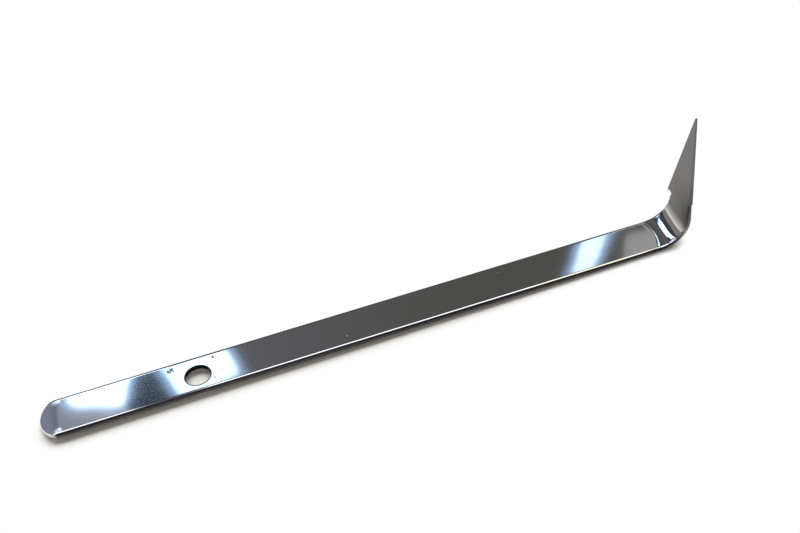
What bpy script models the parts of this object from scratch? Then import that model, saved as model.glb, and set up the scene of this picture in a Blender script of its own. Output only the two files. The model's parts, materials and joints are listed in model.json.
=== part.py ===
"""Pottery trimming tool: one steel strip with a hanging hole, its end bent up and ground to a blade.

The blank is drawn flat, as the strip is cut, and then folded along the bend line.
A point of the flat blank has three coordinates: s along the strip from the butt, y across it
(positive on the side of the cutting edge) and w through it, from the middle of the sheet to
the side that faces up. Lengths are in metres, angles in radians.
"""

import math

import bmesh
import bpy
from mathutils import Matrix, Vector

MM = 0.001

# Strip
STRIP_WIDTH = 12.7 * MM
STRIP_THICKNESS = 1.3 * MM
OVERALL_LENGTH = 180.1 * MM
EDGE_RADIUS = 0.6 * MM

# Butt end: a rounded tab past a crease, where the rolled edges stop and the strip droops
TAB_LENGTH = 3.0 * MM
TAB_INSET = 0.45 * MM
TAB_FALL = 0.26 * MM
CREASE_STEP = 0.06 * MM
CREASE_WIDTH = 0.5 * MM
SHEARED_EDGE_RADIUS = 0.1 * MM

# Hanging hole
HOLE_DIAMETER = 7.1 * MM
HOLE_FROM_BUTT = 40.6 * MM
HOLE_OFF_CENTRE = -0.55 * MM

# Bend
BEND_INSIDE_RADIUS = 7.05 * MM
BEND_ANGLE = math.radians(91.7)
BEND_SKEW = math.radians(7.0)

# Blade, with heights measured up the blade from the end of the bend
BLADE_LENGTH = 33.5 * MM
HEEL_OVERHANG = 1.25 * MM
HEEL_HEIGHT = 1.0 * MM
HEEL_FLARE = 0.5 * MM
TIP_WIDTH = 0.7 * MM
TIP_THICKNESS = 0.35 * MM
CUTTING_EDGE_THICKNESS = 0.15 * MM
BEVEL_WIDTH = 2.4 * MM
BACK_HEIGHT = 5.0 * MM
BACK_RUNOUT = 0.6 * MM

# Round notch filed at the heel of the cutting edge
NOTCH_RADIUS = 1.05 * MM
NOTCH_DEPTH = 1.4 * MM
NOTCH_HEIGHT = 0.35 * MM

# Fineness of the facets
CORNER_STEPS = 4
TAB_STEPS = 9
BEND_STEPS = 16
HOLE_SIDES = 48
NOTCH_SIDES = 24
CUTTER_OVERRUN = 2.0 * MM

HALF_WIDTH = STRIP_WIDTH / 2
HALF_THICKNESS = STRIP_THICKNESS / 2
MID_RADIUS = BEND_INSIDE_RADIUS + HALF_THICKNESS
ARC_LENGTH = MID_RADIUS * BEND_ANGLE
BEND_START = OVERALL_LENGTH - HALF_THICKNESS - MID_RADIUS
ROLLED_RADIUS = min(EDGE_RADIUS, 0.48 * STRIP_THICKNESS)
STEEL_COLOUR = (0.46, 0.46, 0.47, 1.0)
STEEL_ROUGHNESS = 0.2


def clear_scene():
    for old in list(bpy.data.objects):
        bpy.data.objects.remove(old, do_unlink=True)


def ramp(value, start, end, before, after):
    """Blend from one size to another between two places."""
    share = min(max((value - start) / (end - start), 0.0), 1.0)
    return before + (after - before) * share


def bend_start(y):
    """Where the bend begins on the lengthwise line at y: later on the cutting side."""
    return BEND_START + y * math.tan(BEND_SKEW)


def fold(s, y, w):
    """The place in space of a point of the flat blank, with the middle of the tool at X = 0."""
    past_start = s - bend_start(y)
    turn = min(max(past_start / MID_RADIUS, 0.0), BEND_ANGLE)
    up_blade = max(past_start - ARC_LENGTH, 0.0)
    radius = MID_RADIUS - w
    x = min(s, bend_start(y)) + radius * math.sin(turn) + up_blade * math.cos(BEND_ANGLE)
    z = HALF_THICKNESS + MID_RADIUS - radius * math.cos(turn) + up_blade * math.sin(BEND_ANGLE)
    return Vector((x - OVERALL_LENGTH / 2, y, z))


def corner(y, w, radius, y_side, w_side):
    """Points round one corner of a section, from the strip's edge to its face."""
    points = []
    for step in range(CORNER_STEPS + 1):
        angle = math.radians(90.0) * step / CORNER_STEPS
        points.append((
            y - y_side * radius * (1 - math.cos(angle)),
            w - w_side * radius * (1 - math.sin(angle)),
        ))
    return points


def section(near, far, top, bottom, near_radius, far_radius, edge_bottom, bevel):
    """The outline across the strip, as (y, w): near edge, top face, far edge, underside."""
    outline = corner(near, top, near_radius, -1, 1)
    outline += reversed(corner(far, top, far_radius, 1, 1))
    outline += corner(far, edge_bottom, far_radius, 1, -1)
    outline.append((far - bevel, bottom))
    outline += reversed(corner(near, bottom, near_radius, -1, -1))
    return outline


def tab_sections():
    """The rounded butt: an arc from its tip to the crease, bent down towards the tip."""
    half_chord = HALF_WIDTH - TAB_INSET
    radius = (half_chord ** 2 + TAB_LENGTH ** 2) / (2 * TAB_LENGTH)
    opening = 2 * math.atan2(TAB_LENGTH, half_chord)
    rings = []
    for step in range(1, TAB_STEPS + 1):
        angle = opening * step / TAB_STEPS
        s = radius * (1 - math.cos(angle))
        half = radius * math.sin(angle)
        fall = ramp(s, 0.0, TAB_LENGTH, TAB_FALL, 0.0)
        top = HALF_THICKNESS - CREASE_STEP - fall
        bottom = -HALF_THICKNESS - fall
        outline = section(-half, half, top, bottom, SHEARED_EDGE_RADIUS, SHEARED_EDGE_RADIUS,
                          bottom, half / 2)
        rings.append([fold(s, y, w) for y, w in outline])
    return rings


def handle_outline():
    return section(-HALF_WIDTH, HALF_WIDTH, HALF_THICKNESS, -HALF_THICKNESS,
                   ROLLED_RADIUS, ROLLED_RADIUS, -HALF_THICKNESS, BEVEL_WIDTH)


def handle_sections():
    """The level strip and its bend, with rolled edges all the way."""
    s = TAB_LENGTH + CREASE_WIDTH
    rings = [[fold(s, y, w) for y, w in handle_outline()]]
    for step in range(BEND_STEPS + 1):
        past = ARC_LENGTH * step / BEND_STEPS
        rings.append([fold(bend_start(y) + past, y, w) for y, w in handle_outline()])
    return rings


def blade_outline(height):
    """The section at one height up the blade: flat on the inside, ground thin from the outside."""
    heel_foot = HEEL_HEIGHT - HEEL_FLARE
    back_end = BACK_HEIGHT + BACK_RUNOUT
    heel = HALF_WIDTH + HEEL_OVERHANG
    far = ramp(height, heel_foot, HEEL_HEIGHT, HALF_WIDTH, heel)
    if height > HEEL_HEIGHT:
        far = ramp(height, HEEL_HEIGHT, BLADE_LENGTH, heel, TIP_WIDTH - HALF_WIDTH)
    thickness = ramp(height, heel_foot, BLADE_LENGTH, STRIP_THICKNESS, TIP_THICKNESS)
    edge = ramp(height, heel_foot, HEEL_HEIGHT, STRIP_THICKNESS, CUTTING_EDGE_THICKNESS)
    edge = min(edge, thickness)
    back_radius = min(SHEARED_EDGE_RADIUS, TIP_THICKNESS / 4)
    near_radius = min(ramp(height, BACK_HEIGHT, back_end, ROLLED_RADIUS, back_radius), 0.48 * thickness)
    far_radius = min(ROLLED_RADIUS, 0.4 * edge)
    bevel = min(BEVEL_WIDTH, (far + HALF_WIDTH) / 2)
    return section(-HALF_WIDTH, far, HALF_THICKNESS, HALF_THICKNESS - thickness,
                   near_radius, far_radius, HALF_THICKNESS - edge, bevel)


def blade_sections():
    heights = [HEEL_HEIGHT - HEEL_FLARE, HEEL_HEIGHT, BACK_HEIGHT, BACK_HEIGHT + BACK_RUNOUT]
    heights = sorted(height for height in heights if 0.0 < height < BLADE_LENGTH)
    heights.append(BLADE_LENGTH)
    rings = []
    for height in heights:
        past = ARC_LENGTH + height
        rings.append([fold(bend_start(y) + past, y, w) for y, w in blade_outline(height)])
    return rings


def loft(rings):
    """One closed skin over a row of rings that have the same number of points."""
    mesh = bmesh.new()
    rows = [[mesh.verts.new(point) for point in ring] for ring in rings]
    for first, second in zip(rows, rows[1:]):
        for i in range(len(first)):
            j = (i + 1) % len(first)
            mesh.faces.new((first[i], first[j], second[j], second[i]))
    mesh.faces.new(reversed(rows[0]))
    mesh.faces.new(rows[-1])
    bmesh.ops.recalc_face_normals(mesh, faces=mesh.faces)
    return mesh


def make_object(name, mesh):
    data = bpy.data.meshes.new(name)
    mesh.to_mesh(data)
    mesh.free()
    made = bpy.data.objects.new(name, data)
    bpy.context.scene.collection.objects.link(made)
    return made


def round_cutter(name, centre, axis, radius, sides):
    """A cylinder that passes through the sheet at one point, kept out of the model."""
    mesh = bmesh.new()
    turn = Vector((0, 0, 1)).rotation_difference(axis).to_matrix().to_4x4()
    bmesh.ops.create_cone(
        mesh, cap_ends=True, segments=sides, radius1=radius, radius2=radius,
        depth=STRIP_THICKNESS + 2 * CUTTER_OVERRUN, matrix=Matrix.Translation(centre) @ turn,
    )
    cutter = make_object(name, mesh)
    cutter.hide_render = True
    cutter.display_type = "WIRE"
    return cutter


def cut(body, cutter):
    modifier = body.modifiers.new(cutter.name, "BOOLEAN")
    modifier.operation = "DIFFERENCE"
    modifier.solver = "EXACT"
    modifier.object = cutter


def steel():
    material = bpy.data.materials.new("bright_steel")
    material.use_nodes = True
    shader = material.node_tree.nodes["Principled BSDF"]
    shader.inputs["Base Color"].default_value = STEEL_COLOUR
    shader.inputs["Metallic"].default_value = 1.0
    shader.inputs["Roughness"].default_value = STEEL_ROUGHNESS
    return material


clear_scene()

tool = make_object("handle_and_blade", loft(tab_sections() + handle_sections() + blade_sections()))
tool.data.materials.append(steel())
tool.data.shade_smooth()
tool.data.set_sharp_from_angle(angle=math.radians(20.0))

hole_centre = fold(HOLE_FROM_BUTT, HOLE_OFF_CENTRE, 0.0)
cut(tool, round_cutter("hole_cutter", hole_centre, Vector((0, 0, 1)), HOLE_DIAMETER / 2, HOLE_SIDES))

notch_y = HALF_WIDTH - NOTCH_DEPTH + NOTCH_RADIUS
notch_s = bend_start(notch_y) + ARC_LENGTH + NOTCH_HEIGHT
notch_centre = fold(notch_s, notch_y, 0.0)
through_blade = fold(notch_s, notch_y, HALF_THICKNESS) - notch_centre
cut(tool, round_cutter("notch_cutter", notch_centre, through_blade.normalized(), NOTCH_RADIUS, NOTCH_SIDES))
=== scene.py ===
"""Looks of the pottery trimming tool: the finished steel strip, its floor, light and camera."""

import json
import math

import bmesh
import bpy
from mathutils import Matrix, Vector


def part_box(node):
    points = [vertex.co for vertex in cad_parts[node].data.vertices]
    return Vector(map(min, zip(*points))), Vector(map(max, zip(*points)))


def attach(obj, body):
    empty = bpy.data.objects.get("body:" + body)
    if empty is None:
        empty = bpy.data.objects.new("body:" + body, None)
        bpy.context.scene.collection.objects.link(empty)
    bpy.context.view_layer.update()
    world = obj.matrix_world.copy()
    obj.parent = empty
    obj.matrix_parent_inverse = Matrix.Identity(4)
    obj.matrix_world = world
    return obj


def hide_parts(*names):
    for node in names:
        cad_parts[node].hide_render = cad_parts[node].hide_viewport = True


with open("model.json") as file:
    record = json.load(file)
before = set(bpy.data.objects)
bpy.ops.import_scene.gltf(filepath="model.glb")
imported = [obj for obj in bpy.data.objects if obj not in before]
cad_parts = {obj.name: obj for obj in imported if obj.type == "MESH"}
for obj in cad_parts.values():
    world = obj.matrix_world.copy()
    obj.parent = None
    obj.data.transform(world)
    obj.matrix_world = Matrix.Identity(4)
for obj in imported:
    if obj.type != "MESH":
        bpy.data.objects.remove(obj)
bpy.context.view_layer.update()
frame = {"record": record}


# The blank: a length of half-inch spring steel with its long edges rolled round, bright polished.
# It is drawn flat, as it lies before bending: x along from the butt, y across it and z through the
# sheet from its middle. The butt is cropped to a rounded tab past a crease and droops a little.
MM = 0.001
low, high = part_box("handle_and_blade")
mounts = {mount["name"]: mount for mount in frame["record"]["mounts"]}
STRIP_LENGTH = 180.1 * MM
STRIP_HALF = -low.y
STRIP_THICKNESS = mounts["top_face"]["pos_m"][2]
STRIP_FACE = STRIP_THICKNESS / 2
ROLLED_RADIUS = 0.6 * MM
ROLL_STRETCH = 1.7
SHEARED_RADIUS = 0.1 * MM
TAB_LENGTH = 3.0 * MM
TAB_INSET = 0.45 * MM
TAB_ARC = ((STRIP_HALF - TAB_INSET) ** 2 + TAB_LENGTH ** 2) / (2 * TAB_LENGTH)
TAB_SLOPE = 0.095
CREASE_WIDTH = 0.5 * MM
FACE_MARGIN = 0.06 * MM
CORNER_STEPS = 16
FACE_STEPS = 14
TAB_STEPS = 28
CREASE_STEPS = 14
DROOP_FROM = 0.7 * MM
DROOP_TO = 2.2 * MM
CORNER_SHARE = 0.2

# The bend: the strip's end is turned up about a right angle over a bar. Its line is a few degrees off
# square, so that it starts later on the cutting side, and it eases in sooner at the edges.
BEND_RADIUS = 7.05 * MM + STRIP_FACE
BEND_ANGLE = math.radians(91.7)
BEND_SLANT = math.tan(math.radians(7.0))
BEND_START = STRIP_LENGTH - STRIP_FACE - BEND_RADIUS
BEND_ARC = BEND_RADIUS * BEND_ANGLE
BEND_STEPS = 56
BEND_LEAD = 0.8 * MM
LEAD_SKEW = -0.1
LEAD_BOW = 3.6
BEND_FADE = 6.0 * MM
EDGE_CURL = 0.09 * MM
CURL_REACH = 4.0 * MM
CURL_STEPS = 8
LEVEL_STOP = 1.2 * CURL_REACH

# The blade: ground to a point from its outside, with a heel that stands out past the strip and a short
# length of rolled edge left at its back. Heights are measured up it from the end of the bend.
BLADE_LENGTH = 33.5 * MM
HEEL_OUT = high.y - STRIP_HALF
HEEL_HEIGHT = 1.0 * MM
HEEL_FLARE = 0.5 * MM
TIP_WIDTH = 0.7 * MM
TIP_THICKNESS = 0.35 * MM
TIP_ROUND = 0.35 * MM
CUTTING_EDGE = 0.15 * MM
BEVEL_WIDTH = 2.4 * MM
BACK_HEIGHT = 5.0 * MM
BACK_RUNOUT = 0.6 * MM
BACK_ROUND = 0.48
EDGE_ROUND = 0.4
BEVEL_SHARE = 0.46
FOOT_RING = 0.4 * HEEL_HEIGHT
TIP_SHARES = (1.0, 0.6, 0.3, 0.1, 0.0)


def ramp(value, start, end, before, after):
    """Blend from one size to another between two places."""
    share = min(max((value - start) / (end - start), 0.0), 1.0)
    return before + (after - before) * share


def rolled_corner(y, z, radius, reach, margin, y_side, z_side):
    """Points round one corner of the strip's section, from its edge to just inside its face."""
    points = []
    for step in range(CORNER_STEPS + 1):
        angle = math.radians(90.0) * step / CORNER_STEPS
        across = reach * (1 - math.cos(angle))
        through = radius * (1 - math.sin(angle))
        points.append((y - y_side * across, z - z_side * through))
    points.append((y - y_side * (reach + margin), z))
    return points


def across_face(start, end):
    """Points between the two margins of a face, so that it can follow the curl of the bend."""
    shares = [step / FACE_STEPS for step in range(1, FACE_STEPS)]
    return [(start[0] + (end[0] - start[0]) * share, start[1]) for share in shares]


def strip_section(near, far, top, bottom, near_radius, far_radius, far_bottom, bevel):
    """The outline across the strip: near edge, top face, far edge, bevel and underside."""
    width = far - near
    near_reach = min(ROLL_STRETCH * near_radius, CORNER_SHARE * width)
    far_reach = min(ROLL_STRETCH * far_radius, CORNER_SHARE * width)
    margin = min(FACE_MARGIN, (width - near_reach - far_reach) / 4)
    near_top = rolled_corner(near, top, near_radius, near_reach, margin, -1, 1)
    far_top = rolled_corner(far, top, far_radius, far_reach, margin, 1, 1)[::-1]
    far_under = rolled_corner(far, far_bottom, far_radius, far_reach, margin, 1, -1)[:-1]
    near_under = rolled_corner(near, bottom, near_radius, near_reach, margin, -1, -1)[::-1]
    bevel_line = (far - bevel, bottom)
    outline = near_top + across_face(near_top[-1], far_top[0]) + far_top + far_under
    return outline + [bevel_line] + across_face(bevel_line, near_under[0]) + near_under


def droop(past):
    """How far the top lies below the level strip, at a distance past the crease."""
    reach = DROOP_FROM + DROOP_TO
    share = min(max((DROOP_TO - past) / reach, 0.0), 1.0)
    beyond = max(-DROOP_FROM - past, 0.0)
    return TAB_SLOPE * (reach * (share ** 3 - share ** 4 / 2) + beyond)


def tab_rings():
    """The rounded tab, an arc from its tip to the crease, with straight sheared edges."""
    opening = 2 * math.atan2(TAB_LENGTH, STRIP_HALF - TAB_INSET)
    rings = []
    for step in range(1, TAB_STEPS + 1):
        angle = opening * step / TAB_STEPS
        along = TAB_ARC * (1 - math.cos(angle))
        half = TAB_ARC * math.sin(angle)
        fall = droop(along - TAB_LENGTH)
        top = STRIP_FACE - fall
        bottom = -STRIP_FACE - fall + droop(0.0)
        outline = strip_section(-half, half, top, bottom,
                                SHEARED_RADIUS, SHEARED_RADIUS, bottom, half / 2)
        rings.append([(along, y, z) for y, z in outline])
    return rings


def crease_rings():
    """The start of the strip past the tab, where the rolled edges begin and the droop levels out."""
    rings = []
    for step in range(1, CREASE_STEPS + 1):
        past = DROOP_TO * step / CREASE_STEPS
        share = ramp(past, 0.0, CREASE_WIDTH, 0.0, 1.0)
        eased = share * share * (3 - 2 * share)
        half = STRIP_HALF - TAB_INSET * (1 - eased)
        top = STRIP_FACE - droop(past)
        radius = SHEARED_RADIUS + (ROLLED_RADIUS - SHEARED_RADIUS) * eased
        outline = strip_section(-half, half, top, -STRIP_FACE, radius, radius, -STRIP_FACE, BEVEL_WIDTH)
        rings.append([(TAB_LENGTH + past, y, z) for y, z in outline])
    return rings


def handle_rings():
    """The end of the level strip and the bend, in rings that follow the bend's slanted line."""
    outline = strip_section(-STRIP_HALF, STRIP_HALF, STRIP_FACE, -STRIP_FACE,
                            ROLLED_RADIUS, ROLLED_RADIUS, -STRIP_FACE, BEVEL_WIDTH)
    places = [-LEVEL_STOP]
    places += [-CURL_REACH * (1 - step / CURL_STEPS) for step in range(CURL_STEPS)]
    places += [BEND_ARC * step / BEND_STEPS for step in range(BEND_STEPS + 1)]
    return [[(BEND_START + y * BEND_SLANT + place, y, z) for y, z in outline] for place in places]


def blade_section(height):
    """The section at one height up the blade: flat on the inside, ground thin from the outside."""
    foot = HEEL_HEIGHT - HEEL_FLARE
    heel = STRIP_HALF + HEEL_OUT
    far = ramp(height, foot, HEEL_HEIGHT, STRIP_HALF, heel)
    if height > HEEL_HEIGHT:
        far = ramp(height, HEEL_HEIGHT, BLADE_LENGTH, heel, TIP_WIDTH - STRIP_HALF)
    thickness = ramp(height, foot, BLADE_LENGTH, STRIP_THICKNESS, TIP_THICKNESS)
    edge = min(ramp(height, foot, HEEL_HEIGHT, STRIP_THICKNESS, CUTTING_EDGE), thickness)
    rolled = ramp(height, BACK_HEIGHT, BACK_HEIGHT + BACK_RUNOUT, ROLLED_RADIUS, SHEARED_RADIUS)
    near_radius = min(rolled, BACK_ROUND * thickness)
    far_radius = min(ROLLED_RADIUS, EDGE_ROUND * edge)
    into_tip = max(height - BLADE_LENGTH + TIP_ROUND, 0.0) / TIP_ROUND
    pinch = (1 - math.sqrt(1 - into_tip ** 2)) * TIP_WIDTH / 3
    near = pinch - STRIP_HALF
    far -= pinch
    bevel = min(BEVEL_WIDTH, BEVEL_SHARE * (far - near))
    return strip_section(near, far, STRIP_FACE, STRIP_FACE - thickness,
                         near_radius, far_radius, STRIP_FACE - edge, bevel)


def blade_rings():
    """The blade from its foot to its tip, with more rings where its outline turns."""
    heights = [FOOT_RING, HEEL_HEIGHT - HEEL_FLARE, HEEL_HEIGHT]
    back_step = (BACK_HEIGHT - HEEL_HEIGHT) / CURL_STEPS
    heights += [HEEL_HEIGHT + back_step * step for step in range(1, CURL_STEPS + 1)]
    heights.append(BACK_HEIGHT + BACK_RUNOUT)
    heights += [BLADE_LENGTH - TIP_ROUND * share for share in TIP_SHARES]
    rings = []
    for height in heights:
        past = BEND_START + BEND_ARC + height
        rings.append([(past + y * BEND_SLANT, y, z) for y, z in blade_section(height)])
    return rings


def closed_skin(name, rings):
    """One closed mesh over a row of rings that have the same number of points."""
    skin = bmesh.new()
    rows = [[skin.verts.new(point) for point in ring] for ring in rings]
    for first, second in zip(rows, rows[1:]):
        for i in range(len(first)):
            j = (i + 1) % len(first)
            skin.faces.new((first[i], first[j], second[j], second[i]))
    skin.faces.new(reversed(rows[0]))
    skin.faces.new(rows[-1])
    bmesh.ops.recalc_face_normals(skin, faces=skin.faces)
    mesh = bpy.data.meshes.new(name)
    skin.to_mesh(mesh)
    skin.free()
    made = bpy.data.objects.new(name, mesh)
    bpy.context.scene.collection.objects.link(made)
    return made


steel_strip = closed_skin("steel_strip", tab_rings() + crease_rings() + handle_rings() + blade_rings())


# The hanging hole: punched through the flat blank, with a soft shoulder where the punch went in.
# The notch at the heel of the cutting edge is filed round, straight through.
hole_box = frame["record"]["physics"]["openings"][0]["box_m"]
HOLE_RADIUS = 3.55 * MM
HOLE_ALONG = (hole_box[0][0] + hole_box[1][0]) / 2 + STRIP_LENGTH / 2
HOLE_ACROSS = (hole_box[0][1] + hole_box[1][1]) / 2
HOLE_SHOULDER = 0.18 * MM
SHOULDER_ARC = ((0.13, 0.5), (0.5, 0.13))
SHOULDER_TOP = STRIP_FACE + 0.01 * HOLE_SHOULDER
BORE_RADIUS = HOLE_RADIUS - HOLE_SHOULDER
HOLE_SIDES = 96
NOTCH_RADIUS = 1.05 * MM
NOTCH_DEPTH = 1.4 * MM
NOTCH_ACROSS = STRIP_HALF - NOTCH_DEPTH + NOTCH_RADIUS
NOTCH_HEIGHT = 0.35 * MM
NOTCH_SIDES = 48
PUNCH_OVERRUN = 2.0 * MM


def turned_punch(name, along, across, profile, sides):
    """A round cutter from a profile of (radius, height) points, bottom to top."""
    rings = []
    turns = [2 * math.pi * side / sides for side in range(sides)]
    for radius, height in profile:
        ring = []
        for turn in turns:
            ring.append((along + radius * math.cos(turn), across + radius * math.sin(turn), height))
        rings.append(ring)
    return closed_skin(name, rings)


def punch(blank, cutter):
    """Cut one shape out of the blank while it is still flat."""
    bite = blank.modifiers.new(cutter.name, "BOOLEAN")
    bite.operation = "DIFFERENCE"
    bite.solver = "EXACT"
    bite.object = cutter


hole_profile = [(BORE_RADIUS, -STRIP_FACE - PUNCH_OVERRUN), (BORE_RADIUS, STRIP_FACE - HOLE_SHOULDER)]
for outward, down in SHOULDER_ARC:
    hole_profile.append((BORE_RADIUS + outward * HOLE_SHOULDER, STRIP_FACE - down * HOLE_SHOULDER))
hole_profile += [(HOLE_RADIUS, SHOULDER_TOP), (HOLE_RADIUS, STRIP_FACE + PUNCH_OVERRUN)]
notch_profile = [(NOTCH_RADIUS, -STRIP_FACE - PUNCH_OVERRUN), (NOTCH_RADIUS, STRIP_FACE + PUNCH_OVERRUN)]
notch_along = BEND_START + NOTCH_ACROSS * BEND_SLANT + BEND_ARC + NOTCH_HEIGHT
cutters = [
    turned_punch("hole_punch", HOLE_ALONG, HOLE_ACROSS, hole_profile, HOLE_SIDES),
    turned_punch("notch_file", notch_along, NOTCH_ACROSS, notch_profile, NOTCH_SIDES),
]
for cutter in cutters:
    punch(steel_strip, cutter)


# The finish: the strip is bright polished, with faint waves, dust, pits and a scuff by the hole, while its
# rolled edges, the crease and the hole are left dull and darkened with painted shade. The tab's cut edge
# has a painted reflection and the corners by its crease painted glints. The blade is ground satin grey,
# with marks that run up it, and is darker towards its foot in smudges.
POLISHED_COLOUR = (0.56, 0.56, 0.57, 1.0)
# Painted shade: a dark colour for the turn of the rolled edges and the crease, and also the real colour of
# the scuff and pits.
SCUFF_AND_SHADE_COLOUR = (0.07, 0.067, 0.08, 1.0)
# Painted shade for the hole's wall and its near rim.
HOLE_SHADE_COLOUR = (0.014, 0.014, 0.019, 1.0)
DUST_COLOUR = (0.42, 0.43, 0.46, 1.0)
# Painted glints for the corners beside the crease.
GLINT_COLOUR = (0.86, 0.9, 0.96, 1.0)
# Painted reflection of the white floor on the tab's cut edge.
CUT_REFLECTION_COLOUR = (0.96, 0.93, 0.84, 1.0)
GROUND_PALE = (0.265, 0.24, 0.222, 1.0)
GROUND_DARK = (0.085, 0.08, 0.073, 1.0)
# A darker colour towards the blade's foot and near side, in smudges.
FOOT_DARK_COLOUR = (0.088, 0.088, 0.078, 1.0)
POLISHED_ROUGH = 0.045
CREASE_ROUGH = 0.13
GLINT_ROUGH = 0.32
CUT_ROUGH = 0.5
DULL_ROUGH = 0.2
SCUFF_ROUGH = 0.35
GROUND_ROUGH = 0.36
STREAK_ROUGH = 0.2
STREAK_SCALE = (60.0, 1100.0, 0.0)
STREAK_HEIGHT = 0.02 * MM
SMUDGE_SCALE = (160.0, 160.0, 160.0)
WAVE_SCALE = (70.0, 90.0, 90.0)
WAVE_ROUGH = 0.02
WAVE_HEIGHT = 0.012 * MM
DUST_SCALE = 260.0
DUST_LESS_METAL = 0.7
SCRATCH_SCALE = (1700.0, 1700.0, 0.0)
SCUFF_PLACE = (34.1 * MM, 3.8 * MM, STRIP_FACE)
SCUFF_REACH = 1.3 * MM
SCUFF_CORE = 0.4
PITS = (
    (45.4 * MM, 4.2 * MM, 0.5 * MM),
    (44.7 * MM, -3.1 * MM, 0.3 * MM),
    (46.9 * MM, -1.1 * MM, 0.25 * MM),
)
RIM_SHIFT = 0.17 * MM
TURN_SHIFT = 0.03 * MM
FOOT_DARK_LEAN = 0.8
GROUND_WANDER = 0.8 * MM
# Painted shade: how far the crease is darkened.
CREASE_SHADE = 0.12
CREASE_REACH = 2.0 * MM
CREASE_ALONG = TAB_LENGTH + 0.7 * MM
EAR_ALONG = TAB_LENGTH + 0.85 * MM
EAR_ACROSS = 5.2 * MM
EAR_REACH = 1.8 * MM
EAR_HEIGHT = 0.035 * MM

# Where each part of the finish comes in, as the place where it starts and the place where it is full:
# up the blade, along the strip, across it, through it, out from the hole or in the noise.
GROUND_FROM = (-5.6 * MM, -1.6 * MM)
FOOT_DARK_FROM = (13.0 * MM, -3.0 * MM)
FOOT_DARK_ABOVE_BEND = (-2.0 * MM, 3.5 * MM)
FOOT_DARK_IN_SMUDGE = (0.12, 0.5)
SHADE_BEFORE_BLADE = (-1.0 * MM, -8.0 * MM)
SHADE_PAST_TAB = (TAB_LENGTH, TAB_LENGTH + 2 * CREASE_WIDTH)
SHADE_AT_EDGE = (STRIP_HALF - 1.1 * MM, STRIP_HALF - 0.9 * MM)
SHADE_UNDER_TURN = (0.625 * MM, 0.58 * MM)
TURN_LOWER_FAR = (0.0, 1.0 * MM)
TURN_HIGHER_ALONG = (110.0 * MM, 150.0 * MM)
HOLE_WALL = (HOLE_RADIUS + 0.05 * MM, HOLE_RADIUS - 0.03 * MM)
HOLE_RIM = (HOLE_RADIUS + 0.12 * MM, HOLE_RADIUS + 0.02 * MM)
CUT_AT_EDGE = (TAB_ARC - 0.14 * MM, TAB_ARC - 0.06 * MM)
CUT_ON_TAB = (TAB_LENGTH, TAB_LENGTH - CREASE_WIDTH)
DUST_IN_GRAIN = (0.07, 0.03)
DUST_BY_CHANCE = (0.6, 0.9)
SCRATCH_IN_NOISE = (0.43, 0.5)


def put(tree, kind, inputs=None, **settings):
    """Add one node with its options, and set or link its inputs by name or number."""
    node = tree.nodes.new(kind)
    for name, value in settings.items():
        setattr(node, name, value)
    for name, value in (inputs or {}).items():
        if isinstance(value, bpy.types.NodeSocket):
            tree.links.new(value, node.inputs[name])
        else:
            node.inputs[name].default_value = value
    return node


def calc(tree, operation, *values):
    """One sum on sockets or numbers."""
    return put(tree, "ShaderNodeMath", dict(enumerate(values)), operation=operation).outputs[0]


def rise(tree, value, start, end):
    """Smooth step from 0 at the start to 1 at the end."""
    sizes = {"Value": value, "From Min": start, "From Max": end}
    return put(tree, "ShaderNodeMapRange", sizes, interpolation_type="SMOOTHSTEP").outputs["Result"]


def blend_colour(tree, share, before, after):
    """One colour over another, as far as a mask says."""
    sockets = {"Factor": share, 6: before, 7: after}
    return put(tree, "ShaderNodeMix", sockets, data_type="RGBA").outputs[2]


def blend_value(tree, share, before, after):
    """One number over another, as far as a mask says."""
    return put(tree, "ShaderNodeMix", {"Factor": share, 2: before, 3: after}).outputs[0]


def cloud(tree, place, scale, detail):
    """Noise over the flat blank, stretched by a scale for each direction."""
    stretched = put(tree, "ShaderNodeMapping", {"Vector": place, "Scale": scale}).outputs["Vector"]
    sizes = {"Vector": stretched, "Scale": 1.0, "Detail": detail}
    return put(tree, "ShaderNodeTexNoise", sizes).outputs["Fac"]


def distance_from(tree, place, point):
    """How far each place lies from one point."""
    return put(tree, "ShaderNodeVectorMath", {0: place, 1: point}, operation="DISTANCE").outputs["Value"]


def raised(tree, share, height, under=None):
    """The surface's normal where a mask or noise stands up by that height, on top of other relief."""
    bump = put(tree, "ShaderNodeBump", {"Height": share, "Distance": height})
    if under:
        tree.links.new(under, bump.inputs["Normal"])
    return bump.outputs["Normal"]


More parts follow.
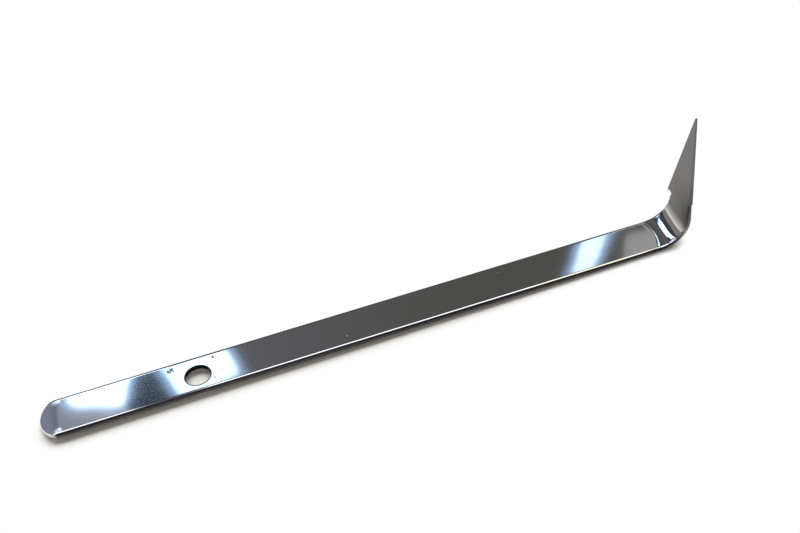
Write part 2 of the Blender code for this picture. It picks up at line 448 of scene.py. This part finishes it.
def steel_finish():
    """All the strip's finishes, painted shade, glints and reflection in one material, laid out on the flat
    blank by its attributes.
    """
    material = bpy.data.materials.new("polished_strip_ground_blade")
    material.use_nodes = True
    tree = material.node_tree
    shader = tree.nodes["Principled BSDF"]
    flat = put(tree, "ShaderNodeAttribute", attribute_name="flat").outputs["Vector"]
    height = put(tree, "ShaderNodeAttribute", attribute_name="height").outputs["Fac"]
    along, across, through = put(tree, "ShaderNodeSeparateXYZ", {0: flat}).outputs
    smudge = cloud(tree, flat, SMUDGE_SCALE, detail=4.0)
    streaks = cloud(tree, flat, STREAK_SCALE, detail=6.0)

    # Where the blade is ground, with its border low on the bend, and where it turns darker towards its
    # foot.
    ground_line = calc(tree, "ADD", height, calc(tree, "MULTIPLY", smudge, GROUND_WANDER))
    ground = rise(tree, ground_line, *GROUND_FROM)
    low_down = rise(tree, calc(tree, "MULTIPLY_ADD", across, FOOT_DARK_LEAN, height), *FOOT_DARK_FROM)
    foot_dark = calc(tree, "MULTIPLY", low_down, rise(tree, smudge, *FOOT_DARK_IN_SMUDGE))
    foot_dark = calc(tree, "MULTIPLY", foot_dark, rise(tree, height, *FOOT_DARK_ABOVE_BEND))

    # Painted shade, where the steel is also dull: under the turn of the rolled edges, in the hole and on
    # its near rim.
    from_middle = calc(tree, "ABSOLUTE", across)
    outer = rise(tree, from_middle, *SHADE_AT_EDGE)
    far_side = rise(tree, across, *TURN_LOWER_FAR)
    turned = calc(tree, "MULTIPLY_ADD", far_side, -TURN_SHIFT, through)
    turned = calc(tree, "MULTIPLY_ADD", rise(tree, along, *TURN_HIGHER_ALONG), TURN_SHIFT, turned)
    under = rise(tree, turned, *SHADE_UNDER_TURN)
    level = put(tree, "ShaderNodeCombineXYZ", {0: along, 1: across}).outputs[0]
    from_hole = distance_from(tree, level, (HOLE_ALONG, HOLE_ACROSS, 0.0))
    hole_shade = rise(tree, from_hole, *HOLE_WALL)
    # Painted shade on the near rim of the hole as well.
    from_rim = distance_from(tree, level, (HOLE_ALONG, HOLE_ACROSS - RIM_SHIFT, 0.0))
    rim_shade = rise(tree, from_rim, *HOLE_RIM)
    hole_shade = calc(tree, "MAXIMUM", hole_shade, rim_shade)
    past_tab = rise(tree, along, *SHADE_PAST_TAB)
    before_blade = rise(tree, height, *SHADE_BEFORE_BLADE)
    edge_shade_stretch = calc(tree, "MULTIPLY", past_tab, before_blade)
    # Painted shade under the turn of the rolled edges, so that they mirror no lit floor.
    shaded_edge_turn = calc(tree, "MULTIPLY", calc(tree, "MULTIPLY", outer, under), edge_shade_stretch)
    dull_and_shaded = calc(tree, "MAXIMUM", shaded_edge_turn, hole_shade)
    shade_colour = blend_colour(tree, hole_shade, SCUFF_AND_SHADE_COLOUR, HOLE_SHADE_COLOUR)

    # The hollow of the crease, rougher where the polish didn't reach, and darkened a little with painted
    # shade.
    from_crease = calc(tree, "ABSOLUTE", calc(tree, "SUBTRACT", along, CREASE_ALONG))
    creased = rise(tree, from_crease, CREASE_REACH, 0.0)
    between_ears = rise(tree, from_middle, EAR_ACROSS, EAR_ACROSS - EAR_REACH)
    hollow = calc(tree, "MULTIPLY", creased, between_ears)
    crease_shade = calc(tree, "MULTIPLY", hollow, CREASE_SHADE)

    # Dust grains here and there, one scuff and a few pits by the hole.
    grain = put(tree, "ShaderNodeTexVoronoi", {"Vector": level, "Scale": DUST_SCALE})
    chance = put(tree, "ShaderNodeSeparateColor", {0: grain.outputs["Color"]}).outputs[0]
    at_grain = rise(tree, grain.outputs["Distance"], *DUST_IN_GRAIN)
    speck = calc(tree, "MULTIPLY", at_grain, rise(tree, chance, *DUST_BY_CHANCE))
    scuffed = rise(tree, distance_from(tree, flat, SCUFF_PLACE), SCUFF_REACH, SCUFF_CORE * SCUFF_REACH)
    scratches = rise(tree, cloud(tree, flat, SCRATCH_SCALE, detail=2.0), *SCRATCH_IN_NOISE)
    scuff = calc(tree, "MULTIPLY", scuffed, scratches)
    for x, y, radius in PITS:
        pit = rise(tree, distance_from(tree, flat, (x, y, STRIP_FACE)), radius, SCUFF_CORE * radius)
        scuff = calc(tree, "MAXIMUM", scuff, pit)

    # Painted glints on the corners beside the crease, and a painted reflection of the floor on the tab's
    # cut edge.
    near_ear = rise(tree, distance_from(tree, level, (EAR_ALONG, -EAR_ACROSS, 0.0)), EAR_REACH, 0.0)
    far_ear = rise(tree, distance_from(tree, level, (EAR_ALONG, EAR_ACROSS, 0.0)), EAR_REACH, 0.0)
    glint_ears = calc(tree, "ADD", near_ear, far_ear)
    from_tab = distance_from(tree, level, (TAB_ARC, 0.0, 0.0))
    cut_edge_reflection = calc(tree, "MULTIPLY", rise(tree, from_tab, *CUT_AT_EDGE), rise(tree, along, *CUT_ON_TAB))

    # The colours, one over another, then the roughness and the relief in the same order.
    ground_colour = blend_colour(tree, streaks, GROUND_DARK, GROUND_PALE)
    ground_colour = blend_colour(tree, foot_dark, ground_colour, FOOT_DARK_COLOUR)
    # Painted shade in the crease.
    colour = blend_colour(tree, crease_shade, POLISHED_COLOUR, SCUFF_AND_SHADE_COLOUR)
    # Painted glints on the corners beside the crease.
    colour = blend_colour(tree, glint_ears, colour, GLINT_COLOUR)
    # Painted reflection on the tab's cut edge.
    colour = blend_colour(tree, cut_edge_reflection, colour, CUT_REFLECTION_COLOUR)
    # Painted shade on the rolled edges and in the hole.
    colour = blend_colour(tree, dull_and_shaded, colour, shade_colour)
    colour = blend_colour(tree, scuff, colour, SCUFF_AND_SHADE_COLOUR)
    colour = blend_colour(tree, speck, colour, DUST_COLOUR)
    colour = blend_colour(tree, ground, colour, ground_colour)
    tree.links.new(colour, shader.inputs["Base Color"])

    waves = cloud(tree, flat, WAVE_SCALE, detail=1.0)
    rough = calc(tree, "MULTIPLY_ADD", waves, WAVE_ROUGH, POLISHED_ROUGH)
    rough = blend_value(tree, hollow, rough, CREASE_ROUGH)
    rough = blend_value(tree, glint_ears, rough, GLINT_ROUGH)
    rough = blend_value(tree, cut_edge_reflection, rough, CUT_ROUGH)
    rough = blend_value(tree, dull_and_shaded, rough, DULL_ROUGH)
    rough = blend_value(tree, scuff, rough, SCUFF_ROUGH)
    ground_rough = calc(tree, "MULTIPLY_ADD", streaks, STREAK_ROUGH, GROUND_ROUGH)
    rough = blend_value(tree, ground, rough, ground_rough)
    tree.links.new(rough, shader.inputs["Roughness"])
    metal = calc(tree, "MULTIPLY_ADD", speck, -DUST_LESS_METAL, 1.0)
    tree.links.new(metal, shader.inputs["Metallic"])

    wavy = raised(tree, waves, WAVE_HEIGHT)
    eared = raised(tree, glint_ears, EAR_HEIGHT, wavy)
    scored = raised(tree, calc(tree, "MULTIPLY", streaks, ground), STREAK_HEIGHT, eared)
    tree.links.new(scored, shader.inputs["Normal"])
    return material


# Bending: the far end of the punched blank is folded up round a bar, cold, which leaves the edges a little
# curled. Each lengthwise line stays in its own upright plane, turns about the bend's axis and goes on up
# the blade. The folded strip is one piece of steel and rides on the tool's only body.
SHARP_ANGLE = math.radians(10.0)


def fold_tree():
    """The fold as a node tree, which also keeps each point's flat place and its height for the finish."""
    tree = bpy.data.node_groups.new("fold_the_blank", "GeometryNodeTree")
    tree.interface.new_socket("Geometry", in_out="INPUT", socket_type="NodeSocketGeometry")
    bend_sizes = ("Start", "Slant", "Radius", "Angle", "Butt")
    ease_sizes = ("Curl", "Reach", "Lead", "Skew", "Bow", "Fade")
    for name in bend_sizes + ease_sizes:
        tree.interface.new_socket(name, in_out="INPUT", socket_type="NodeSocketFloat")
    tree.interface.new_socket("Finish", in_out="INPUT", socket_type="NodeSocketMaterial")
    tree.interface.new_socket("Geometry", in_out="OUTPUT", socket_type="NodeSocketGeometry")
    given = tree.nodes.new("NodeGroupInput").outputs

    position = put(tree, "GeometryNodeInputPosition").outputs[0]
    along, across, through = put(tree, "ShaderNodeSeparateXYZ", {0: position}).outputs
    start = calc(tree, "MULTIPLY_ADD", across, given["Slant"], given["Start"])
    past = calc(tree, "SUBTRACT", along, start)
    arc = calc(tree, "MULTIPLY", given["Radius"], given["Angle"])
    turn = calc(tree, "MAXIMUM", calc(tree, "DIVIDE", past, given["Radius"]), 0.0)
    turn = calc(tree, "MINIMUM", turn, given["Angle"])
    height = calc(tree, "SUBTRACT", past, arc)
    climb = calc(tree, "MAXIMUM", height, 0.0)

    # The soft start: over twice the lead the lift grows by a cube, and past it the plain arc takes over.
    farness = calc(tree, "DIVIDE", across, STRIP_HALF)
    bowed = calc(tree, "MULTIPLY_ADD", calc(tree, "MULTIPLY", farness, farness), given["Bow"], 1.0)
    share = calc(tree, "MULTIPLY_ADD", farness, given["Skew"], bowed)
    lead = calc(tree, "MULTIPLY", given["Lead"], share)
    both_leads = calc(tree, "MULTIPLY", lead, 2.0)
    into_lead = calc(tree, "MINIMUM", calc(tree, "ADD", past, lead), both_leads)
    into_lead = calc(tree, "MAXIMUM", into_lead, 0.0)
    eased = calc(tree, "DIVIDE", calc(tree, "POWER", into_lead, 3.0), calc(tree, "MULTIPLY", lead, 6.0))
    abrupt = calc(tree, "POWER", calc(tree, "MAXIMUM", calc(tree, "MINIMUM", past, lead), 0.0), 2.0)
    kept_share = rise(tree, past, calc(tree, "ADD", lead, given["Fade"]), lead)
    early = calc(tree, "MULTIPLY", calc(tree, "SUBTRACT", eased, abrupt), kept_share)
    lift = calc(tree, "DIVIDE", early, calc(tree, "MULTIPLY", given["Radius"], 2.0))

    # The curl: in the bend, the two long edges lean out of the arc a little.
    edgeward = calc(tree, "POWER", calc(tree, "ABSOLUTE", farness), 4.0)
    before = calc(tree, "MULTIPLY", given["Reach"], -1.0)
    entering = rise(tree, past, before, given["Reach"])
    leaving = rise(tree, height, given["Reach"], before)
    bending = calc(tree, "MULTIPLY", entering, leaving)
    curl = calc(tree, "MULTIPLY", calc(tree, "MULTIPLY", edgeward, bending), given["Curl"])
    inward = calc(tree, "SUBTRACT", calc(tree, "ADD", through, lift), curl)
    radius = calc(tree, "SUBTRACT", given["Radius"], inward)

    level = calc(tree, "ADD", calc(tree, "MINIMUM", along, start), given["Butt"])
    around = calc(tree, "MULTIPLY_ADD", radius, calc(tree, "SINE", turn), level)
    x = calc(tree, "MULTIPLY_ADD", climb, calc(tree, "COSINE", given["Angle"]), around)
    below_axis = calc(tree, "MULTIPLY", radius, calc(tree, "COSINE", turn))
    lifted = calc(tree, "SUBTRACT", given["Radius"], below_axis)
    risen = calc(tree, "MULTIPLY_ADD", climb, calc(tree, "SINE", given["Angle"]), lifted)
    z = calc(tree, "ADD", risen, STRIP_FACE)
    folded = put(tree, "ShaderNodeCombineXYZ", {0: x, 1: across, 2: z}).outputs[0]

    kept = put(tree, "GeometryNodeStoreNamedAttribute", {
        "Geometry": given["Geometry"], "Name": "flat", "Value": position,
    }, data_type="FLOAT_VECTOR", domain="POINT").outputs[0]
    kept = put(tree, "GeometryNodeStoreNamedAttribute", {
        "Geometry": kept, "Name": "height", "Value": height,
    }, data_type="FLOAT", domain="POINT").outputs[0]
    bent = put(tree, "GeometryNodeSetPosition", {"Geometry": kept, "Position": folded}).outputs[0]
    whole = put(tree, "GeometryNodeRealizeInstances", {"Geometry": bent}).outputs[0]
    dressed = {"Geometry": whole, "Material": given["Finish"]}
    done = put(tree, "GeometryNodeSetMaterial", dressed).outputs[0]
    put(tree, "NodeGroupOutput", {"Geometry": done})
    return tree


def settle(piece):
    """Turn a piece and its live modifiers into a plain mesh."""
    graph = bpy.context.evaluated_depsgraph_get()
    seen = piece.evaluated_get(graph)
    mesh = bpy.data.meshes.new_from_object(seen, preserve_all_data_layers=True, depsgraph=graph)
    piece.modifiers.clear()
    piece.data = mesh
    mesh.name = piece.name


fold = steel_strip.modifiers.new("fold", "NODES")
fold.node_group = fold_tree()
fold_values = {
    "Start": BEND_START, "Slant": BEND_SLANT, "Radius": BEND_RADIUS, "Angle": BEND_ANGLE,
    "Butt": -STRIP_LENGTH / 2, "Curl": EDGE_CURL, "Reach": CURL_REACH,
    "Lead": BEND_LEAD, "Skew": LEAD_SKEW, "Bow": LEAD_BOW, "Fade": BEND_FADE, "Finish": steel_finish(),
}
for item in fold.node_group.interface.items_tree:
    if item.name in fold_values:
        fold[item.identifier] = fold_values[item.name]
settle(steel_strip)
for cutter in cutters:
    bpy.data.objects.remove(cutter, do_unlink=True)
steel_strip.data.shade_smooth()
steel_strip.data.set_sharp_from_angle(angle=SHARP_ANGLE)
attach(steel_strip, "root")
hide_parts("handle_and_blade")


# The floor: a wide, nearly white table top with a raised rim, on which the tool lies. It falls a little
# towards the butt, where the strip stands just clear of it. It keeps a short shadow along the near side,
# and runs out into plain white away from the tool, soonest at the bend.
FLOOR_LEVEL = 2.0
FLOOR_HALF = 4.5
FLOOR_RIM = 0.9
FLOOR_COLOUR = (0.985, 0.975, 0.925, 1.0)
FLOOR_ROUGH = 0.9
FLOOR_SHINE = 0.1
FLOOR_GAP = 0.03 * MM
BUTT_CLEAR = 0.9 * MM
WHITE_FROM = 5.6 * MM
WHITE_FULL = 9.6 * MM
SHADOW_SHIFT = 1.5 * MM
WHITE_SOONER = 0.4
SOONER_ALONG = (20.0 * MM, 80.0 * MM)


def pale_table():
    """Matt white, with the shadow kept round the tool and even white further out."""
    material = bpy.data.materials.new("pale_table")
    material.use_nodes = True
    tree = material.node_tree
    shader = tree.nodes["Principled BSDF"]
    shader.inputs["Base Color"].default_value = FLOOR_COLOUR
    shader.inputs["Roughness"].default_value = FLOOR_ROUGH
    shader.inputs["Specular IOR Level"].default_value = FLOOR_SHINE
    place = put(tree, "ShaderNodeTexCoord").outputs["Object"]
    along, across, _ = put(tree, "ShaderNodeSeparateXYZ", {0: place}).outputs
    past_end = calc(tree, "SUBTRACT", calc(tree, "ABSOLUTE", along), STRIP_LENGTH / 2 - STRIP_HALF)
    past_end = calc(tree, "MAXIMUM", past_end, 0.0)
    nearward = calc(tree, "ADD", across, SHADOW_SHIFT)
    offset = put(tree, "ShaderNodeCombineXYZ", {0: past_end, 1: nearward}).outputs[0]
    distance = put(tree, "ShaderNodeVectorMath", {0: offset}, operation="LENGTH").outputs["Value"]
    sooner = calc(tree, "MULTIPLY_ADD", rise(tree, along, *SOONER_ALONG), WHITE_SOONER, 1.0)
    away = rise(tree, calc(tree, "MULTIPLY", distance, sooner), WHITE_FROM, WHITE_FULL)
    path = put(tree, "ShaderNodeLightPath").outputs
    seen = calc(tree, "MAXIMUM", path["Is Camera Ray"], path["Is Glossy Ray"])
    seen = calc(tree, "MAXIMUM", seen, path["Is Transmission Ray"])
    white = put(tree, "ShaderNodeEmission").outputs[0]
    both = put(tree, "ShaderNodeMixShader", {
        0: calc(tree, "MULTIPLY", away, seen), 1: shader.outputs[0], 2: white,
    }).outputs[0]
    tree.links.new(both, tree.nodes["Material Output"].inputs["Surface"])
    return material


def pale_floor():
    """A square level sheet that touches the tool at its bend, inside a rim that rises all round."""
    touch = BEND_START - STRIP_LENGTH / 2
    slope = BUTT_CLEAR / (touch - low.x)
    sheet = bmesh.new()
    level = []
    rim = []
    for x, y in ((-1, -1), (1, -1), (1, 1), (-1, 1)):
        height = (x * FLOOR_LEVEL - touch) * slope - FLOOR_GAP
        level.append(sheet.verts.new((x * FLOOR_LEVEL, y * FLOOR_LEVEL, height)))
        rim.append(sheet.verts.new((x * FLOOR_HALF, y * FLOOR_HALF, FLOOR_RIM)))
    sheet.faces.new(level)
    for i in range(4):
        j = (i + 1) % 4
        sheet.faces.new((level[i], rim[i], rim[j], level[j]))
    mesh = bpy.data.meshes.new("floor")
    sheet.to_mesh(mesh)
    sheet.free()
    mesh.materials.append(pale_table())
    floor = bpy.data.objects.new("floor", mesh)
    bpy.context.scene.collection.objects.link(floor)
    return floor


pale_floor()


# The light: long soft boxes high behind the tool, and upright ones on a wall behind it, which the polished
# strip shows as white patches with bluish borders. Dim grey flats stand between them. All these light the
# steel alone, and one broad soft light from behind lights the floor and casts the shadow.
WALL = 0.9
HIGH_BEHIND = 1.0
HIGH_UP = 3.28
HIGH_DEPTH = 1.9
BLUISH = (0.62, 0.83, 1.0)
COOL = (0.98, 0.99, 1.0)
WARM = (1.0, 0.95, 0.74)
BORDER = 0.012
BORDER_BLUE = (0.3, 0.55, 1.0)
BORDER_BRIGHTNESS = 0.6
ROOM_DIM = (0.1, 0.092, 0.08, 1.0)
ROOM_BRIGHT = (0.76, 0.715, 0.645, 1.0)
ROOM_PANELS = 9.0
PANEL_EDGE = (-0.6, 0.9)
PANEL_FOOT = (-0.05, 0.2)
PANEL_HEAD = (1.0, 0.6)
ROOM_LOW = (0.075, 0.06, 0.075, 1.0)
ROOM_LEFT = (0.065, 0.08, 0.125, 1.0)
ROOM_MIDDLE = (0.172, 0.173, 0.188, 1.0)
ROOM_RIGHT = (0.128, 0.125, 0.11, 1.0)
LEFT_ABOVE_LOW = (0.42, 0.6)
RIGHT_PAST_MIDDLE = (-0.04, 0.27)
RIGHT_PAST_LEFT = (-0.1, 0.0)
WALL_BEHIND = (0.0, 0.25)
WALL_ENDS = (1.7, 1.15)


steel_alone = bpy.data.collections.new("steel_alone")
steel_alone.objects.link(steel_strip)


def soft_box(name, place, aim, size, colour, brightness, roll=0.0, lit=None):
    """A flat lamp of that width and height, facing a point, turned about its own axis."""
    lamp = bpy.data.lights.new(name, "AREA")
    lamp.shape = "RECTANGLE"
    lamp.size, lamp.size_y = size
    lamp.color = colour
    lamp.energy = brightness * math.pi * size[0] * size[1]
    holder = bpy.data.objects.new(name, lamp)
    bpy.context.scene.collection.objects.link(holder)
    facing = (Vector(aim) - Vector(place)).to_track_quat("-Z", "Y").to_matrix().to_4x4()
    holder.matrix_world = Matrix.Translation(place) @ facing @ Matrix.Rotation(roll, 4, "Z")
    holder.visible_camera = False
    holder.light_linking.receiver_collection = lit
    return holder


def wall_box(name, left, right, bottom, top, colour, brightness, roll=0.0, forward=0.0):
    """A lamp on or just in front of the wall behind the tool, between two sides and two heights."""
    x = (left + right) / 2
    z = (bottom + top) / 2
    size = (right - left, top - bottom)
    return soft_box(name, (x, WALL - forward, z), (x, 0.0, z), size, colour, brightness, roll, steel_alone)


def high_box(name, left, right, colour, brightness):
    """A stretch of the long row of lamps high behind the tool."""
    x = (left + right) / 2
    size = (right - left, HIGH_DEPTH)
    place = (x, HIGH_BEHIND, HIGH_UP)
    return soft_box(name, place, (x, 0.0, 0.0), size, colour, brightness, 0.0, steel_alone)


def window(name, left, right, bottom, top, brightness, border=BORDER, roll=0.0, forward=0.0):
    """A bright wall lamp with a bluer, dimmer border round it."""
    wall_box(name, left, right, bottom, top, BLUISH, brightness, roll, 2 * forward)
    outside = (left - border, right + border, bottom - border, top + border)
    wall_box(name + "_border", *outside, BORDER_BLUE, BORDER_BRIGHTNESS, roll, forward)


window("window_left", -0.281, -0.203, 0.821, 0.901, 4.2, roll=math.radians(-25.0), forward=0.002)
window("window_middle", -0.152, -0.056, 0.80, 0.940, 3.0, roll=math.radians(9.5))
window("window_right", 0.572, 0.611, 0.50, 0.955, 2.5, 0.014, math.radians(-18.0))
wall_box("window_low", -0.292, -0.211, 0.62, 0.845, BLUISH, 4.2)
wall_box("window_between", -0.215, -0.140, 0.66, 0.845, BLUISH, 4.5)
wall_box("window_outer", -0.312, -0.285, 0.52, 0.78, BLUISH, 4.5)
wall_box("flat_left", -0.360, -0.217, 0.87, 1.20, (0.9, 0.95, 1.0), 0.36)
wall_box("flat_butt", -0.620, -0.440, 0.77, 1.10, (0.78, 0.82, 1.0), 0.33)
wall_box("flat_crease", -0.440, -0.360, 0.77, 1.15, (0.8, 0.86, 1.0), 0.225)
wall_box("flat_right", 0.600, 1.000, 0.885, 1.30, (1.0, 0.98, 1.0), 0.40)
wall_box("flat_low", -0.760, -0.430, 0.0, 0.50, (1.0, 0.92, 0.78), 0.27)
high_box("high_left", -2.2, -0.445, COOL, 2.6)
high_box("high_middle", -0.19, 1.1, COOL, 2.6)
high_box("high_right", 1.1, 2.4, WARM, 2.1)
backlight = soft_box("backlight", (0.4, 2.4, 2.2), (0.0, 0.0, 0.0), (4.0, 2.6), COOL, 4.9)
backlight.visible_glossy = False


def grey_room():
    """A dim room: a dark wall behind, cooler on the left, and soft pale panels on the other sides."""
    world = bpy.data.worlds.new("grey_room")
    world.use_nodes = True
    tree = world.node_tree
    toward = put(tree, "ShaderNodeTexCoord").outputs["Generated"]
    sideways, behind, upward = put(tree, "ShaderNodeSeparateXYZ", {0: toward}).outputs
    left = blend_colour(tree, rise(tree, upward, *LEFT_ABOVE_LOW), ROOM_LOW, ROOM_LEFT)
    right = blend_colour(tree, rise(tree, sideways, *RIGHT_PAST_MIDDLE), ROOM_MIDDLE, ROOM_RIGHT)
    wall = blend_colour(tree, rise(tree, sideways, *RIGHT_PAST_LEFT), left, right)
    ahead = calc(tree, "MAXIMUM", behind, 0.01)
    aside = calc(tree, "DIVIDE", calc(tree, "ABSOLUTE", sideways), ahead)
    at_wall = calc(tree, "MULTIPLY", rise(tree, behind, *WALL_BEHIND), rise(tree, aside, *WALL_ENDS))
    bearing = calc(tree, "ARCTAN2", sideways, behind)
    angle = calc(tree, "MULTIPLY_ADD", bearing, ROOM_PANELS, math.radians(-90.0))
    panels = rise(tree, calc(tree, "SINE", angle), *PANEL_EDGE)
    band = calc(tree, "MULTIPLY", rise(tree, upward, *PANEL_FOOT), rise(tree, upward, *PANEL_HEAD))
    front = blend_colour(tree, calc(tree, "MULTIPLY", panels, band), ROOM_DIM, ROOM_BRIGHT)
    tint = blend_colour(tree, at_wall, front, wall)
    tree.links.new(tint, tree.nodes["Background"].inputs["Color"])
    return world


bpy.context.scene.world = grey_room()


# The camera: above the tool and in front of it, looking down on the handle towards the blade and turned a
# little on its own axis. Its lens is given in pixels of the 800 wide picture.
CAMERA_PLACE = Vector((-0.03762, -0.18856, 0.18996))
CAMERA_TURN = math.radians(-13.515)
CAMERA_TILT = math.radians(90.0 - 41.724)
CAMERA_ROLL = math.radians(-7.472)
SENSOR_WIDTH = 36.0
FOCAL_PIXELS = 1006.2
IMAGE_WIDTH = 800
NEAREST_SEEN = 0.01

camera_data = bpy.data.cameras.new("camera")
camera_data.sensor_width = SENSOR_WIDTH
camera_data.lens = FOCAL_PIXELS / IMAGE_WIDTH * SENSOR_WIDTH
camera_data.clip_start = NEAREST_SEEN
camera = bpy.data.objects.new("camera", camera_data)
camera.matrix_world = (
    Matrix.Translation(CAMERA_PLACE)
    @ Matrix.Rotation(CAMERA_TURN, 4, "Z")
    @ Matrix.Rotation(CAMERA_TILT, 4, "X")
    @ Matrix.Rotation(CAMERA_ROLL, 4, "Z")
)
bpy.context.scene.collection.objects.link(camera)
bpy.context.scene.camera = camera
bpy.context.scene.view_settings.view_transform = "Standard"
